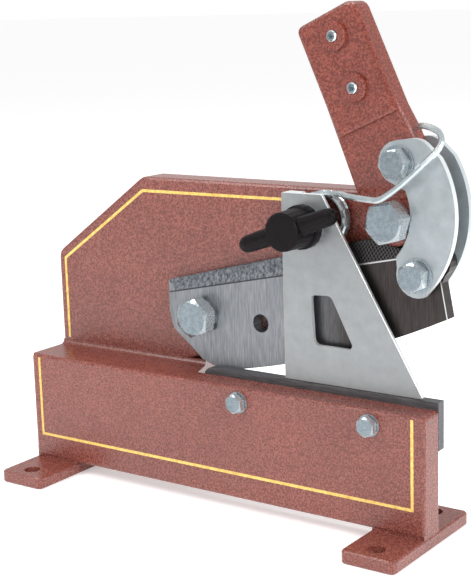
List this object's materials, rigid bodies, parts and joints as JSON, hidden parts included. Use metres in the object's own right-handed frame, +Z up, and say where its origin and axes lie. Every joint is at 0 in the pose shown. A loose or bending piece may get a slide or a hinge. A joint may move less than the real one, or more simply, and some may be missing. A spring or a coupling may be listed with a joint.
{
  "type": "hand-lever bench shear",
  "caption": "Hand-lever bench shear with a red-brown cast frame, pivoting upper blade, crescent links and hold-down.",
  "frame": {"origin": "under the middle of the overall box, on the bench", "axes": "+X along the blades towards the open end, +Y to the rear, +Z up"},
  "size_m": [0.373, 0.1274, 0.3718],
  "materials": {
    "painted casting": "hammered gloss",
    "zinc plated steel": "satin",
    "ground tool steel": "ground",
    "dark tool steel": "blackened",
    "bronze": "satin",
    "black plastic": "satin"
  },
  "bodies": {
    "frame": {"frame_casting": "painted casting", "lower_blade": "dark tool steel", "blade_bolt_left": "zinc plated steel", "blade_bolt_right": "zinc plated steel", "blade_washer_left": "zinc plated steel", "blade_washer_right": "zinc plated steel", "blade_pivot_bolt": "zinc plated steel", "blade_pivot_washer_front": "zinc plated steel", "blade_pivot_washer": "zinc plated steel", "blade_pivot_nut": "zinc plated steel", "lever_pivot_bolt": "zinc plated steel", "lever_pivot_washer_front": "zinc plated steel", "lever_pivot_washer": "zinc plated steel", "lever_pivot_nut": "zinc plated steel", "lever_spacer": "zinc plated steel", "clamp_stud": "zinc plated steel", "clamp_washer": "zinc plated steel", "spring_bush": "zinc plated steel", "return_spring_coil": "zinc plated steel"},
    "upper_blade_body": {"upper_blade": "ground tool steel", "blade_bush": "bronze"},
    "lever_body": {"lever": "painted casting", "lever_bush": "bronze", "set_screw_upper": "zinc plated steel", "set_screw_lower": "zinc plated steel"},
    "links": {"front_link": "zinc plated steel", "rear_link": "zinc plated steel", "link_spacer": "zinc plated steel", "link_bolt_upper": "zinc plated steel", "link_bolt_lower": "zinc plated steel", "link_nut_upper": "zinc plated steel", "link_nut_lower": "zinc plated steel", "link_washer_upper_front": "zinc plated steel", "link_washer_upper_rear": "zinc plated steel", "link_washer_lower_front": "zinc plated steel", "link_washer_lower_rear": "zinc plated steel"},
    "spring_arm": {"return_spring_arm": "zinc plated steel"},
    "hold_down": {"hold_down_plate": "zinc plated steel"},
    "knob": {"clamp_knob": "black plastic"}
  },
  "joints": [
    {"name": "lever_hinge", "type": "hinge", "parent": "frame", "child": "lever_body", "pos_m": [0.1389, 0.009, 0.2253], "axis": [0, 1, 0], "range_deg": [0, 102], "stiffness_Nm_per_rad": 2},
    {"name": "link_hinge", "type": "hinge", "parent": "lever_body", "child": "links", "pos_m": [0.1443, 0.009, 0.2652], "axis": [0, 1, 0], "range_deg": [-82.6, 0]},
    {"name": "blade_hinge", "type": "hinge", "parent": "frame", "child": "upper_blade_body", "pos_m": [-0.032, 0.009, 0.1397], "axis": [0, 1, 0], "range_deg": [0, 15.9]},
    {"name": "spring_arm_hinge", "type": "hinge", "parent": "frame", "child": "spring_arm", "pos_m": [0.077, 0.009, 0.2213], "axis": [0, 1, 0], "range_deg": [0, 52.7], "deforming": ["return_spring_arm"]},
    {"name": "hold_down_slide", "type": "slide", "parent": "frame", "child": "hold_down", "axis": [0, 0, 1], "range_m": [0, 0.005]},
    {"name": "knob_turn", "type": "hinge", "parent": "frame", "child": "knob", "pos_m": [0.0685, 0.009, 0.217], "axis": [0, 1, 0], "range_deg": [-180, 180]}
  ],
  "couplings": [
    {"joint": "link_hinge", "follows": "lever_hinge", "ratio": -0.80833},
    {"joint": "blade_hinge", "follows": "lever_hinge", "ratio": 0.15512},
    {"joint": "spring_arm_hinge", "follows": "lever_hinge", "ratio": 0.516}
  ]
}
